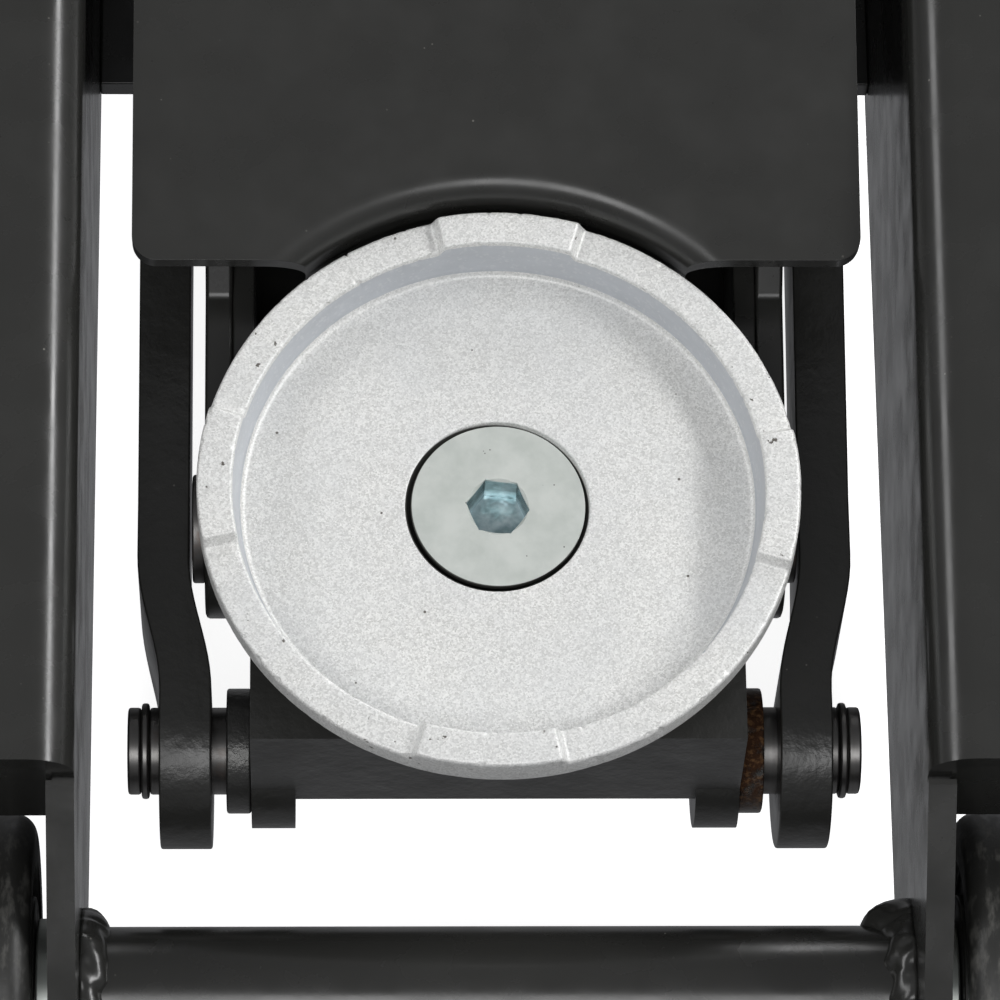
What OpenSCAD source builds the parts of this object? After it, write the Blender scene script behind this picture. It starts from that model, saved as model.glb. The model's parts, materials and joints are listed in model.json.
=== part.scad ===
// Low-profile hydraulic trolley jack with a parallelogram lift arm, lowered, handle stowed upright.
// X is across the jack, +Y runs from the saddle to the handle, +Z is up from the floor.

/* [Saddle] */
// Outer diameter of the saddle
saddle_d = 108; // [104:0.5:110]
// Height of the saddle rim above the floor when lowered
saddle_rim_z = 85; // [84:0.5:86]
// Depth of the saddle cup
saddle_cup_depth = 8; // [7:0.5:9]
// Height of the four lugs above the rim
saddle_lug_h = 2.2; // [1:0.1:3]
// Width across the flats of the hexagon socket in the saddle screw
hex_socket_af = 10; // [8:1:12]

/* [Lift arm] */
// Distance from the main pivot to the saddle bracket's pivot
arm_l = 410; // [405:1:415]
// Slope of the lowered arm in degrees
arm_slope = 8; // [7.5:0.1:8.5]
// Width of the arm's top plate
arm_w = 132; // [126:1:134]
// Depth of the round relief pressed into the arm's top plate
relief_depth = 15; // [14:0.5:16]

/* [Chassis] */
// Distance between the inner faces of the side plates
rail_gap = 150; // [150:0.5:152]
// Thickness of the side plates
plate_t = 5; // [4:0.5:5]
// Height of the side plates' flange at the front
rail_front_z = 93; // [91:0.5:95]
// Height of the side plates' flange at the rear
rail_rear_z = 150; // [148:0.5:152]
// Half width of the chassis over its down-turned lips
lip_x = 125; // [124:1:128]

/* [Wheels] */
// Diameter of the front wheels
front_wheel_d = 66; // [64:1:67]
// Width of the front wheels
front_wheel_w = 38; // [34:1:40]
// Diameter of the caster wheels
caster_wheel_d = 50; // [48:1:50]

/* [Handle] */
// Distance from the handle's pivot to the end of its grip
handle_l = 1000; // [900:10:1100]
// Diameter of the handle's tubes
pole_d = 34; // [33:0.5:34]
// Forward lean of the stowed handle in degrees
handle_lean = 8; // [7:0.5:9]

/* [Hidden] */
$fn = 72;
left = -1;
right = 1;

// Radial clearances: a turning fit, and a gap that never touches
run_gap = 0.05;
free_gap = 0.5;

black = [0.17, 0.17, 0.165];
zinc = [0.74, 0.76, 0.75];
cast = [0.75, 0.76, 0.78];
steel = [0.55, 0.55, 0.56];
rubber = [0.1, 0.1, 0.1];

// Pivots are [y, z] with y measured from the saddle's axis
arm_front = [8, 48];
link_offset = [-38, -15];
link_front = arm_front + link_offset;
main_pivot = arm_front + arm_l * [cos(arm_slope), sin(arm_slope)];
link_rear = main_pivot + link_offset;
axle = [-77.5, front_wheel_d / 2];

rail_in = rail_gap / 2;
rail_out = rail_in + plate_t;
bend_r = 8;
rail_front_y = -55;
rail_rear_y = 628;
rail_bottom_z = 9;
nose_r = 28;
flange_front = [rail_front_y, rail_front_z];
flange_rear = [rail_rear_y - 26, rail_rear_z];
// Where the plate's sloped front edge touches its rounded nose
brow = [rail_front_y - 1, rail_front_z - 10] - axle;
nose_tangent = atan2(brow[1], brow[0]) + acos(nose_r / norm(brow));
cross_tube_r = 12.5;
axle_r = 8;
wheel_in = 83.2;
axle_end_x = wheel_in + front_wheel_w + 12;

saddle_floor_z = saddle_rim_z - saddle_cup_depth;
saddle_under_z = saddle_floor_z - 5;
saddle_wall_h = 3.6;
lug_half_angle = 14.4;
lug_turn = -2.4;
spigot_r = 14;
spigot_z = 64;
screw_head_d = 31.4;
screw_d = 16;
screw_end_z = 57;
bracket_top_z = 67;
bracket_half = 44.5;

// Heights on the arm are measured square to it from its front pivot
arm_under_h = 31;
arm_skin_t = 4;
arm_front_s = 40.8;
arm_rear_s = arm_l - 14;
relief_r = 60;
relief_blend_r = 5;
// Where the middle of the saddle lies, measured along the arm
saddle_mid_z = 82;
relief_s = (saddle_mid_z - arm_front[1]) * sin(arm_slope) - arm_front[0] * cos(arm_slope);
web_x = [48, 53];
arm_drop_h = -24;
arm_nose_r = 16.5;
hub_r = 24;
hub_end_r = 20;
main_pin_r = 12;
front_pin_r = 7;
link_pin_r = 8;
link_eye_r = 18;
link_bar_h = 11;
link_outer_x = [56, 65.5];
link_inner_x = [51.7, 61.2];
joggle_y = [-25, 2];
link_pin_end = 67.2;

lug_x = [19, 29];
lug_l = 58;
lug_angle = 33;
cross_pin_r = 7;
cross_pin = main_pivot + lug_l * [sin(lug_angle), -cos(lug_angle)];
ram_z = 51.7;
ram_r = 13;
ram_slot_half = cross_pin_r + 1;
crosshead_wall = 6;
crosshead_x = 17;
ram_front_y = cross_pin[0] + ram_slot_half + crosshead_wall;
crosshead_z = [22, 70];
spring_x = 53;
spring_z = 28;
spring_r = 6.5;
anchor_r = 4;
anchor_y = 570.5;

tank_y = [466, 566];
tank_r = 37;
cylinder_r = 20;
cylinder_bore_r = 16;
block_y = [566, 638];
block_z = [15, 95];
block_x = 45;
block_bolt_r = 5;
block_bolt_af = 17;
block_bolt_reach = 14;
block_bolts = [[584, 86.5], [616, 86.5], [612, 35]];
filler_y = 520;
cover_y = [466, 562];
cover_z = 140;
cover_screw_r = 3;
cover_screw_y = [482, 546];
cover_screw_z = 118;

handle_pivot = [604, 118];
plunger_x = 16;
plunger_r = 7;
plunger_dy = 14;
roller_orbit = 16;
roller_angle = 41.5;
roller_r = 7;
plunger_gap = 0.7;
roller_pin = handle_pivot + roller_orbit * [cos(roller_angle), sin(roller_angle)];
plunger_top_z = roller_pin[1] - roller_r - plunger_gap;
block_ear_x = [37, 46];
yoke_ear_x = [26, 36];
yoke_pin_r = 7;
socket_from = 30;
socket_to = 154;
socket_r = 23;
pole_r = pole_d / 2;
pole_from = socket_from + 6.3;
join_from = 470;
join_to = 530;
tube_wall = 2.5;
drive_ball_r = 7;
valve_cup_r = 10;
valve_stem_r = 6;

caster_x = 122;
caster_y = 575;
caster_trail = 14;
caster_plate_z = 70;
caster_r = caster_wheel_d / 2;
caster_stem_r = 8;
caster_wheel_half = 11;

// The row's origin lies on the floor, midway between the foremost and rearmost points
front_y = axle[0] - front_wheel_d / 2;
rear_y = block_y[1] + 6;
origin_y = (front_y + rear_y) / 2;

module placed() { translate([0, -origin_y, 0]) children(); }

module both_sides() {
    children();
    mirror([1, 0, 0]) children();
}

module on_side(side) { mirror([side < 0 ? 1 : 0, 0, 0]) children(); }

// Cylinder along X between two x values, on a [y, z] centre
module bar_x(r, xs, at) {
    translate([xs[0], at[0], at[1]]) rotate([0, 90, 0]) cylinder(r = r, h = xs[1] - xs[0]);
}

// Cylinder along Y between two y values, on an [x, z] centre
module bar_y(r, ys, at) {
    translate([at[0], ys[0], at[1]]) rotate([-90, 0, 0]) cylinder(r = r, h = ys[1] - ys[0]);
}

// Cylinder along Z between two z values, on an [x, y] centre
module bar_z(r, zs, at) { translate([at[0], at[1], zs[0]]) cylinder(r = r, h = zs[1] - zs[0]); }

// Extrudes a [y, z] outline from one x value to another
module plate_x(xs) {
    translate([xs[0], 0, 0]) rotate([90, 0, 90]) linear_extrude(xs[1] - xs[0]) children();
}

module block(xs, ys, zs) {
    translate([xs[0], ys[0], zs[0]]) cube([xs[1] - xs[0], ys[1] - ys[0], zs[1] - zs[0]]);
}

module circle_at(r, at) { translate(at) circle(r = r); }

// The arm's own frame: Y along the arm from its front pivot, Z square to it
module along_arm() { translate([0, arm_front[0], arm_front[1]]) rotate([arm_slope, 0, 0]) children(); }

module hex_nut(af, xs, bore_r, at) {
    difference() {
        translate([xs[0], at[0], at[1]]) rotate([0, 90, 0])
            cylinder(d = af / cos(30), h = xs[1] - xs[0], $fn = 6);
        bar_x(bore_r, [xs[0] - 1, xs[1] + 1], at);
    }
}

// ---- Chassis ----

// The flange as a closed strip: a leg, a bend, a flat, a bend and a lip, in the [x, z] plane under its top
module flange_profile() {
    inner_r = bend_r - plate_t;
    lip_h = 30;
    leg_h = 22;
    in_bend = [rail_in + bend_r, -bend_r];
    out_bend = [lip_x - bend_r, -bend_r];
    polygon(concat(
        [[rail_in, -leg_h]], arc_points(in_bend, bend_r, 180, 90), arc_points(out_bend, bend_r, 90, 0),
        [[lip_x, -lip_h], [lip_x - plate_t, -lip_h]],
        arc_points(out_bend, inner_r, 0, 90), arc_points(in_bend, inner_r, 90, 180), [[rail_out, -leg_h]]
    ));
}

module ring_2d(r_out, r_in) {
    difference() {
        circle(r = r_out);
        circle(r = r_in);
    }
}

module web_outline() {
    under = [0, -12];
    polygon([
        axle + [-5, 1 - nose_r], [rail_front_y, rail_bottom_z], [rail_rear_y - 25, rail_bottom_z],
        [rail_rear_y, rail_bottom_z + 25], [rail_rear_y, rail_rear_z - 30], flange_rear + under,
        flange_front + under, flange_front + [0, -10], flange_front + [-1, -10],
        axle + (nose_r - 0.05) * [cos(nose_tangent), sin(nose_tangent)], axle
    ]);
    circle_at(nose_r, axle);
}

module side_plate(side) {
    run = flange_rear - flange_front;
    color(black) on_side(side) difference() {
        union() {
            plate_x([rail_in, rail_out]) web_outline();
            translate([0, flange_rear[0], flange_rear[1]]) rotate([90 + atan2(run[1], run[0]), 0, 0])
                linear_extrude(norm(run)) flange_profile();
            fender_end();
        }
        plate_holes();
    }
}

// Closes the front of the flange above the wheel
module fender_end() {
    low_z = 64;
    block([rail_out - 1, lip_x - 1], [rail_front_y + 0.6, rail_front_y + 4.6], [low_z, rail_front_z - 2]);
}

module plate_holes() {
    through = [rail_in - 1, rail_out + 1];
    bar_x(axle_r, through, axle);
    bar_x(main_pin_r, through, main_pivot);
    bar_x(link_pin_r, through, link_rear);
    for (at = block_bolts) bar_x(block_bolt_r, through, at);
    for (y = cover_screw_y) bar_x(cover_screw_r, through, [y, cover_screw_z]);
}

module front_cross_tube() {
    color(black) difference() {
        bar_x(cross_tube_r, [-rail_in, rail_in], axle);
        bar_x(axle_r + 0.3, [-rail_in - 1, rail_in + 1], axle);
    }
}

// Beads of weld round both ends of the cross tube
module tube_weld_beads() {
    bead_r = 3;
    color(black) both_sides() difference() {
        translate([rail_in, axle[0], axle[1]]) rotate([0, 90, 0])
            rotate_extrude() translate([cross_tube_r, 0]) circle(r = bead_r);
        bar_x(cross_tube_r, [rail_in - 10, rail_in + 10], axle);
        block([rail_in, rail_in + 10], [axle[0] - 30, axle[0] + 30], [0, 80]);
    }
}

module tie_plate() {
    color(black) difference() {
        block([-rail_in, rail_in], [115, 205], [14, 19]);
        for (x = [-35, 35]) bar_z(15, [13, 20], [x, 160]);
    }
}

module front_axle() { color(steel) bar_x(axle_r, [-axle_end_x, axle_end_x], axle); }

module axle_washers() {
    color(zinc) both_sides() {
        washer([rail_out, wheel_in - 0.3]);
        washer([wheel_in + front_wheel_w + 0.3, wheel_in + front_wheel_w + 3]);
    }
}

module washer(xs) {
    difference() {
        bar_x(14, xs, axle);
        bar_x(axle_r, [xs[0] - 1, xs[1] + 1], axle);
    }
}

module axle_nuts() {
    color(zinc) both_sides()
        hex_nut(24, [wheel_in + front_wheel_w + 3, wheel_in + front_wheel_w + 11], axle_r, axle);
}

// Shelf and gusset outside each side plate that carry a caster
module caster_mounts() {
    shelf_t = 6;
    shelf_top = caster_plate_z + shelf_t;
    color(black) both_sides() difference() {
        union() {
            hull() {
                block([rail_out, rail_out + 1], [caster_y - 42, caster_y + 42], [caster_plate_z, shelf_top]);
                bar_z(27, [caster_plate_z, shelf_top], [caster_x, caster_y]);
            }
            for (y = [caster_y - 36, caster_y + 27])
                translate([0, y + 5, 0]) rotate([90, 0, 0]) linear_extrude(5) polygon([
                    [rail_out, shelf_top - 1], [rail_out + 26, shelf_top - 1], [rail_out, shelf_top + 34]
                ]);
        }
        bar_z(caster_stem_r + run_gap, [0, 120], [caster_x, caster_y]);
    }
}

module caster_fork(side) {
    crown_z = caster_plate_z - 5.3;
    arm_x = [caster_wheel_half + 1, caster_wheel_half + 4];
    wheel_at = [caster_y + caster_trail, caster_r];
    color(zinc) on_side(side) difference() {
        union() {
            bar_z(caster_stem_r, [crown_z, caster_plate_z + 9], [caster_x, caster_y]);
            bar_z(13, [caster_plate_z + 6.3, caster_plate_z + 10], [caster_x, caster_y]);
            bar_z(17, [crown_z, caster_plate_z - 0.3], [caster_x, caster_y]);
            translate([caster_x, 0, 0]) both_sides() {
                plate_x(arm_x) hull() {
                    translate([caster_y - 14, crown_z - 0.5]) square([28, 3]);
                    circle_at(9, wheel_at);
                }
            }
            translate([caster_x, 0, 0])
                block([-arm_x[1], arm_x[1]], [caster_y - 14, caster_y + 14], [crown_z - 0.5, crown_z + 3]);
            bar_x(4, [caster_x - 19, caster_x + 19], wheel_at);
            translate([caster_x, 0, 0]) both_sides() bar_x(7, [arm_x[1], arm_x[1] + 5], wheel_at);
        }
    }
}

module caster_wheel(side) {
    bore_r = 4 + run_gap;
    wheel_at = [caster_y + caster_trail, caster_r];
    color(rubber) on_side(side) translate([caster_x, wheel_at[0], wheel_at[1]]) rotate([0, 90, 0])
        rotate_extrude() difference() {
            translate([bore_r, -caster_wheel_half]) square([caster_r - bore_r, 2 * caster_wheel_half]);
            for (z = [-caster_wheel_half, caster_wheel_half]) {
                translate([caster_r, z]) rotate(45) square(4, center = true);
                translate([14, z]) square([9, 3], center = true);
            }
        }
}

module front_wheel(side) {
    edge = 4;
    r = front_wheel_d / 2;
    bore_r = axle_r + run_gap;
    color(black) on_side(side) translate([wheel_in, axle[0], axle[1]]) rotate([0, 90, 0])
        rotate_extrude() difference() {
            union() {
                translate([bore_r, edge]) square([r - bore_r, front_wheel_w - 2 * edge]);
                translate([bore_r, 0]) square([r - edge - bore_r, front_wheel_w]);
                for (z = [edge, front_wheel_w - edge]) translate([r - edge, z]) circle(r = edge);
            }
            translate([18, -1]) square([6, 3]);
            translate([16, front_wheel_w - 3]) square([9, 4]);
        }
}

module main_pivot_shaft() { color(steel) bar_x(main_pin_r, [-rail_out - 12, rail_out + 12], main_pivot); }

module main_pivot_nuts() {
    color(zinc) both_sides() hex_nut(32, [rail_out, rail_out + 10], main_pin_r, main_pivot);
}

// Headed stub pins that carry the rear eyes of the link rods
module link_pivot_pins() {
    color(steel) both_sides() {
        bar_x(link_pin_r, [53.8, rail_out + 3], link_rear);
        bar_x(11, [53.7, 55.7], link_rear);
        bar_x(12, [66, rail_in], link_rear);
    }
}

// ---- Hydraulic unit ----

module pump_block() {
    well_z = 80;
    color(black) difference() {
        union() {
            block([-block_x, block_x], block_y, block_z);
            both_sides() plate_x(block_ear_x) {
                circle_at(15, handle_pivot);
                translate([handle_pivot[0] - 15, block_z[1] - 10])
                    square([30, handle_pivot[1] - block_z[1] + 10]);
            }
            both_sides() for (at = block_bolts) bar_x(8.4, [block_x - 1, rail_in], at);
        }
        both_sides() {
            bar_z(plunger_r + run_gap, [36, 100], [plunger_x, handle_pivot[0] + plunger_dy]);
            bar_z(12.5, [well_z, 100], [plunger_x, handle_pivot[0] + plunger_dy]);
            bar_x(yoke_pin_r, [30, 50], handle_pivot);
            for (at = block_bolts) bar_x(block_bolt_r, [block_x - block_bolt_reach, rail_in + 1], at);
        }
        bar_z(valve_stem_r + run_gap, [58, 100], [0, handle_pivot[0]]);
        bar_x(anchor_r, [-60, 60], [anchor_y, spring_z]);
    }
}

module oil_tank() {
    wall = 3;
    color(black) difference() {
        union() {
            bar_y(tank_r, tank_y, [0, ram_z]);
            bar_z(9, [ram_z + tank_r - 3, ram_z + tank_r + 4], [0, filler_y]);
        }
        bar_y(tank_r - wall, [tank_y[0] + 6, tank_y[1] + 1], [0, ram_z]);
        bar_y(cylinder_r, [tank_y[0] - 1, tank_y[0] + 10], [0, ram_z]);
        bar_z(5, [ram_z + 20, ram_z + tank_r + 5], [0, filler_y]);
    }
}

module oil_filler_plug() {
    color(rubber) {
        bar_z(5, [ram_z + tank_r - 5, ram_z + tank_r + 4], [0, filler_y]);
        bar_z(8, [ram_z + tank_r + 4, ram_z + tank_r + 7], [0, filler_y]);
    }
}

module ram_cylinder() {
    color(steel) difference() {
        bar_y(cylinder_r, tank_y, [0, ram_z]);
        bar_y(cylinder_bore_r, [tank_y[0] - 1, tank_y[1] + 1], [0, ram_z]);
    }
}

module gland_nut() {
    color(zinc) difference() {
        union() {
            bar_y(17.5, [461, tank_y[0]], [0, ram_z]);
            bar_y(cylinder_bore_r, [tank_y[0] - 1, tank_y[0] + 12], [0, ram_z]);
        }
        bar_y(ram_r + run_gap, [460, tank_y[0] + 13], [0, ram_z]);
    }
}

module valve_caps() {
    color(zinc) for (x = [-24, 24]) {
        translate([x, block_y[1], 38]) rotate([-90, 0, 0]) cylinder(d = 19 / cos(30), h = 5, $fn = 6);
        bar_y(6, [block_y[1] + 4.5, block_y[1] + 6], [x, 38]);
    }
}

module pump_block_bolts() {
    color(zinc) both_sides() for (at = block_bolts) {
        bar_x(block_bolt_r, [block_x - block_bolt_reach, rail_out + 1], at);
        translate([rail_out, at[0], at[1]]) rotate([0, 90, 0])
            cylinder(d = block_bolt_af / cos(30), h = 6.4, $fn = 6);
    }
}

module spring_anchor_rod() { color(zinc) bar_x(anchor_r, [-60, 60], [anchor_y, spring_z]); }

module rear_cover() {
    sheet_t = 2;
    side_x = [rail_in - 2.5, rail_in - 0.5];
    corner_r = 8;
    color(black) difference() {
        union() {
            block([-side_x[1] + corner_r, side_x[1] - corner_r], cover_y, [cover_z - sheet_t, cover_z]);
            both_sides() {
                block(side_x, cover_y, [108, cover_z - corner_r]);
                translate([side_x[1] - corner_r, cover_y[1], cover_z - corner_r]) rotate([90, 0, 0])
                    linear_extrude(cover_y[1] - cover_y[0]) intersection() {
                        ring_2d(corner_r, corner_r - sheet_t);
                        square(corner_r);
                    }
            }
        }
        both_sides() for (y = cover_screw_y) bar_x(cover_screw_r, [60, 80], [y, cover_screw_z]);
        for (y = [490, 514, 538]) hull()
            for (x = [-28, 28]) bar_z(4, [cover_z - 10, cover_z + 5], [x, y], $fn = 32);
    }
}

module cover_screws() {
    color(zinc) both_sides() for (y = cover_screw_y) {
        bar_x(cover_screw_r, [rail_in - 8, rail_out + 1], [y, cover_screw_z]);
        bar_x(6, [rail_out, rail_out + 4], [y, cover_screw_z]);
    }
}

module yoke_pivot_bolts() {
    color(zinc) both_sides() {
        bar_x(yoke_pin_r, [yoke_ear_x[0], block_ear_x[1] + 1], handle_pivot);
        translate([block_ear_x[1], handle_pivot[0], handle_pivot[1]]) rotate([0, 90, 0])
            cylinder(d = 22 / cos(30), h = 8, $fn = 6);
    }
}

// ---- Lift arm ----

// Points of a blend arc, by centre, radius and end angles
function arc_points(at, r, from, to, steps = 8) =
    [for (i = [0:steps]) let(a = from + (to - from) * i / steps) at + r * [cos(a), sin(a)]];

// Section of the relief's skin through its axis, [radius, height], top face at zero
function relief_top() = concat(
    [[relief_r + relief_blend_r + 1, 0]],
    arc_points([relief_r + relief_blend_r - 4, -relief_blend_r], relief_blend_r, 90, 180),
    arc_points([relief_r - relief_blend_r - 4, -relief_depth + relief_blend_r], relief_blend_r, 0, -90),
    [[10, -relief_depth]]);

function shifted(points, by) = [for (i = [len(points) - 1:-1:0]) points[i] + by];

module arm_top_plate() {
    corner_r = 4.5;
    top_h = arm_under_h + arm_skin_t;
    color(black) along_arm() intersection() {
        union() {
            difference() {
                translate([-arm_w / 2, arm_front_s, arm_under_h])
                    cube([arm_w, arm_rear_s - arm_front_s, arm_skin_t]);
                translate([0, relief_s, 0]) cylinder(r = relief_r + relief_blend_r, h = 100);
            }
            translate([0, relief_s, top_h]) rotate_extrude($fn = 120)
                polygon(concat(relief_top(), shifted(relief_top(), [0, -arm_skin_t])));
        }
        linear_extrude(100) rounded_plan(arm_w / 2, arm_front_s, arm_rear_s, corner_r);
    }
}

module rounded_plan(half_w, from, to, r) {
    translate([-half_w + r, from]) square([2 * half_w - 2 * r, to - from]);
    translate([-half_w, from + r]) square([2 * half_w, to - from - r]);
    for (x = [-half_w + r, half_w - r]) translate([x, from + r]) circle(r = r);
}

module web_profile() {
    brow_s = 66;
    circle(r = arm_nose_r);
    translate([arm_l, 0]) circle(r = hub_r + 4);
    polygon([
        [0, -arm_nose_r], [60, arm_drop_h], [arm_l - 80, arm_drop_h], [arm_l, -hub_r - 4],
        [arm_l, hub_r], [arm_rear_s, arm_under_h], [brow_s, arm_under_h], [40, 15.5], [0, arm_nose_r]
    ]);
}

module arm_web(side) {
    color(black) on_side(side) along_arm() difference() {
        plate_x(web_x) web_profile();
        bar_x(front_pin_r, [40, 60], [0, 0]);
        bar_x(hub_r, [40, 60], [arm_l, 0]);
    }
}

module arm_front_cheeks() {
    nose = arm_nose_r - 1.5;
    color(black) both_sides() along_arm() difference() {
        plate_x([web_x[0] - 4, web_x[0]]) {
            circle(r = nose);
            polygon([[0, -nose], [90, -nose], [110, -5], [110, 8], [90, nose], [0, nose]]);
        }
        bar_x(front_pin_r, [40, 60], [0, 0]);
    }
}

module arm_brace() {
    color(black) along_arm() {
        block([-web_x[0], web_x[0]], [130, 135], [arm_drop_h + 4, arm_under_h]);
        block([-web_x[0], web_x[0]], [230, 235], [arm_drop_h + 4, arm_under_h]);
        block([-web_x[0], web_x[0]], [43, 76], [arm_drop_h + 3, arm_drop_h + 7]);
    }
}

module arm_hub_tube() {
    color(black) difference() {
        union() {
            bar_x(hub_r, [-web_x[1], web_x[1]], main_pivot);
            bar_x(hub_end_r, [-rail_in + free_gap, rail_in - free_gap], main_pivot);
        }
        bar_x(main_pin_r + run_gap, [-rail_in, rail_in], main_pivot);
    }
}

module ram_lugs() {
    color(black) both_sides() difference() {
        plate_x(lug_x) hull() {
            circle_at(hub_r + 8, main_pivot);
            circle_at(12, cross_pin);
        }
        bar_x(hub_r, [0, 40], main_pivot);
        bar_x(cross_pin_r, [0, 40], cross_pin);
    }
}

module ram_cross_pin() {
    color(steel) {
        bar_x(cross_pin_r, [-36, 36], cross_pin);
        both_sides() difference() {
            bar_x(10, [lug_x[1] + 1, lug_x[1] + 3], cross_pin);
            bar_x(cross_pin_r, [20, 40], cross_pin);
        }
    }
}

module arm_front_pin() {
    color(steel) {
        bar_x(front_pin_r, [-web_x[1] - 1, web_x[1] + 1], arm_front);
        both_sides() bar_x(10, [web_x[1], web_x[1] + 2.4], arm_front);
    }
}

// ---- Saddle ----

module saddle_bracket() {
    ear_x = [30, 43.5];
    foot_x = [36.5, bracket_half];
    foot_r = 14.2;
    front = [-41, -35];
    crown_y = [-41, 34];
    color(black) difference() {
        union() {
            block([-43.5, 43.5], crown_y, [54, bracket_top_z]);
            block([-bracket_half, bracket_half], [front[0], -12], [48, bracket_top_z]);
            block([-bracket_half, bracket_half], front, [37, 60]);
            both_sides() plate_x(foot_x) {
                circle_at(foot_r, link_front);
                translate([front[0], link_front[1]]) square([22, 25]);
            }
            both_sides() plate_x(ear_x) {
                circle_at(14, arm_front);
                translate([arm_front[0] - 14, arm_front[1]]) square([28, 12]);
            }
            bar_z(33, [bracket_top_z - 1, saddle_under_z - 0.1], [0, 0]);
        }
        bar_z(screw_d / 2, [40, 90], [0, 0]);
        bar_z(spigot_r + 0.3, [spigot_z - 0.2, 90], [0, 0]);
        bar_x(link_pin_r, [-60, 60], link_front);
        bar_x(front_pin_r + run_gap, [-60, 60], arm_front);
    }
}

module link_front_pin() {
    groove = [63.2, 64.8];
    color(steel) difference() {
        bar_x(link_pin_r, [-link_pin_end, link_pin_end], link_front);
        both_sides() difference() {
            bar_x(link_pin_r + 1, groove, link_front);
            bar_x(link_pin_r - 1, [groove[0] - 1, groove[1] + 1], link_front);
        }
    }
}

module link_pin_collars() {
    color(steel) both_sides() difference() {
        bar_x(11.5, [44.6, 49.1], link_front);
        bar_x(link_pin_r, [40, 60], link_front);
    }
}

module retaining_rings() {
    color(steel) both_sides() difference() {
        bar_x(8.8, [63.3, 64.7], link_front);
        bar_x(link_pin_r - 1, [60, 70], link_front);
    }
}

module saddle_screw() {
    head_r = screw_head_d / 2;
    socket_r = hex_socket_af / 2;
    head_z = saddle_floor_z - 0.2;
    land = 1;
    color(zinc) difference() {
        union() {
            bar_z(screw_d / 2, [screw_end_z, head_z - 4], [0, 0]);
            translate([0, 0, head_z - land]) cylinder(r = head_r, h = land);
            translate([0, 0, head_z - land - head_r + screw_d / 2])
                cylinder(r1 = screw_d / 2, r2 = head_r, h = head_r - screw_d / 2);
        }
        translate([0, 0, head_z - 7.5]) rotate(-7) cylinder(r = socket_r / cos(30), h = 8, $fn = 6);
        translate([0, 0, head_z - 0.5]) cylinder(r1 = socket_r, r2 = socket_r + 0.6, h = 0.6);
    }
}

// The gap between two lugs, as a wedge in plan
module lug_gap() {
    half = 45 - lug_half_angle;
    reach = 80;
    polygon([[0, 0], reach * [cos(half), sin(half)], [reach, 0], reach * [cos(half), -sin(half)]]);
}

module saddle() {
    r = saddle_d / 2;
    seat_r = screw_head_d / 2 + 0.6;
    neck_r = screw_d / 2 + run_gap;
    seat_z = saddle_floor_z - 1.3;
    floor_r = r - 8;
    lip_r = r - 6.5;
    lug_z = saddle_rim_z + saddle_lug_h;
    color(cast) difference() {
        rotate_extrude($fn = 144) polygon([
            [neck_r, spigot_z], [spigot_r, spigot_z], [spigot_r, saddle_under_z], [34, saddle_under_z],
            [r - 3, saddle_rim_z - saddle_wall_h - 4.4],
            [r, saddle_rim_z - saddle_wall_h], [r, lug_z], [lip_r, lug_z], [lip_r, saddle_rim_z - 0.5],
            [floor_r, saddle_floor_z], [seat_r, saddle_floor_z], [seat_r, seat_z],
            [neck_r, seat_z - seat_r + neck_r]
        ]);
        for (a = [45:90:315]) rotate(a + lug_turn)
            translate([0, 0, saddle_rim_z]) linear_extrude(lug_z) lug_gap();
    }
}

// ---- Link rods ----

// A stretch of the link rod's bar in [y, z], from one place along it
module link_bar(from, length) {
    translate(link_front) rotate(arm_slope) translate([from, -link_bar_h]) square([length, 2 * link_bar_h]);
}

// Edge of the rod's soft double bend, from one x value to another; turned 1 runs from rear to front
function joggle(x_from, x_to, turned) = [for (i = [0:12]) let(
    t = i / 12,
    s = turned == 1 ? 1 - t : t
) [x_from + (x_to - x_from) * (1 - cos(180 * t)) / 2, joggle_y[0] + (joggle_y[1] - joggle_y[0]) * s]];

module link_rod(side) {
    bar_rear = link_rear[0] + link_eye_r + 2;
    neck_l = 44;
    color(black) on_side(side) difference() {
        intersection() {
            linear_extrude(200) polygon(concat(
                [[link_inner_x[0], -60], [link_inner_x[1], -60]],
                joggle(link_inner_x[1], link_outer_x[1], 0),
                [[link_outer_x[1], bar_rear], [link_outer_x[0], bar_rear]],
                joggle(link_outer_x[0], link_inner_x[0], 1)
            ));
            plate_x([40, 80]) {
                hull() {
                    circle_at(link_eye_r, link_front);
                    link_bar(neck_l, 1);
                }
                circle_at(link_eye_r, link_rear);
                link_bar(0, arm_l);
            }
        }
        bar_x(link_pin_r + run_gap, [40, 80], link_front);
        bar_x(link_pin_r + run_gap, [40, 80], link_rear);
    }
}

// ---- Ram ----

module ram_rod() {
    color(steel) union() {
        bar_y(ram_r, [ram_front_y, 548], [0, ram_z]);
        bar_y(cylinder_bore_r - run_gap, [546, 560], [0, ram_z]);
    }
}

module ram_crosshead() {
    y0 = cross_pin[0] - ram_slot_half - crosshead_wall;
    slot_z = [38.5, 64.9];
    color(steel) difference() {
        union() {
            block([-crosshead_x, crosshead_x], [y0, ram_front_y], crosshead_z);
            bar_x(4.5, [-spring_x - 7, spring_x + 7], [cross_pin[0], spring_z]);
        }
        translate([0, cross_pin[0], 0]) block([-20, 20], [-ram_slot_half, ram_slot_half], slot_z);
    }
}

// Outer shape of the two extension springs between the crosshead and the anchor rod
module return_springs() {
    color(zinc) both_sides()
        bar_y(spring_r, [cross_pin[0] + 5, anchor_y - 4.5], [spring_x, spring_z]);
}

// ---- Handle ----

// The handle's own frame: Z along the handle from its pivot
module along_handle() {
    translate([0, handle_pivot[0], handle_pivot[1]]) rotate([handle_lean, 0, 0]) children();
}

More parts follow.
